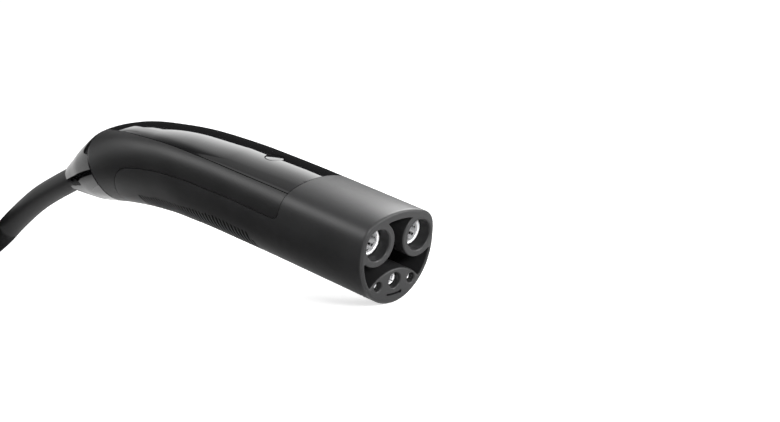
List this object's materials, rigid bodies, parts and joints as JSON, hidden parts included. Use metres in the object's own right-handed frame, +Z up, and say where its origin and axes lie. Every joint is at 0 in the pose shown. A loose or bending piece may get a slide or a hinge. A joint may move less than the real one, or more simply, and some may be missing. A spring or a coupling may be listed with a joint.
{
  "type": "ev charging plug",
  "caption": "Handheld charging plug: curved handle, glossy top with release button, socket face with silvered contacts, and a coiled cable.",
  "frame": {"origin": "on the floor under the middle of the handle's length, where the nose's lower edge rests", "axes": "+X forward to the nose, which points 16 degrees down; +Y to the handle's left seen from behind; +Z up"},
  "size_m": [0.5632, 0.1307, 0.0809],
  "materials": {
    "matte_shell": "fine matte texture",
    "front_moulding": "satin",
    "gloss_cover": "piano gloss",
    "cable_jacket": "satin",
    "silvered_copper": "silver plated",
    "steel": "zinc plated",
    "insulator": "moulded",
    "circuit_board": "solder resist",
    "orange_insulation": "satin",
    "green_insulation": "satin",
    "grey_insulation": "satin"
  },
  "bodies": {
    "plug": {"front_housing": "front_moulding", "upper_housing": "matte_shell", "top_cover": "gloss_cover", "button_spring": "steel", "push_switch": "insulator", "circuit_board": "circuit_board", "inner_frame": "insulator", "frame_screw_1": "steel", "frame_screw_2": "steel", "frame_screw_3": "steel", "frame_screw_4": "steel", "board_screw_1": "steel", "board_screw_2": "steel", "contact_carrier": "insulator", "carrier_screw_1": "steel", "carrier_screw_2": "steel", "power_contact_left": "silvered_copper", "power_contact_right": "silvered_copper", "contact_ring_left": "steel", "contact_ring_right": "steel", "ground_contact": "silvered_copper", "pilot_contact": "silvered_copper", "proximity_contact": "silvered_copper", "temperature_sensor_left": "insulator", "temperature_sensor_right": "insulator", "power_wire_left": "orange_insulation", "power_wire_right": "orange_insulation", "ground_wire": "green_insulation", "pilot_wire": "grey_insulation", "proximity_wire": "grey_insulation", "rear_cap": "gloss_cover", "cable_clamp_upper": "insulator", "cable_clamp_lower": "insulator", "clamp_screw_1": "steel", "clamp_screw_2": "steel", "cable_seal": "cable_jacket", "cable": "cable_jacket", "cable_coil": "cable_jacket", "coil_tie_1": "matte_shell", "coil_tie_2": "matte_shell", "cable_tail": "cable_jacket", "gland_nut": "insulator", "gland_body": "insulator", "lead_line_1": "orange_insulation", "lead_line_2": "orange_insulation", "lead_ground": "green_insulation", "lug_line_1": "silvered_copper", "lug_line_2": "silvered_copper", "lug_ground": "silvered_copper"},
    "button": {"release_button": "gloss_cover", "switch_plunger": "insulator"}
  },
  "joints": [
    {"name": "button_press", "type": "slide", "parent": "plug", "child": "button", "axis": [-0.2756, 0, -0.9613], "range_m": [0, 0.0008], "stiffness_N_per_m": 600, "springref_m": -0.0025, "deforming": ["button_spring"]}
  ]
}
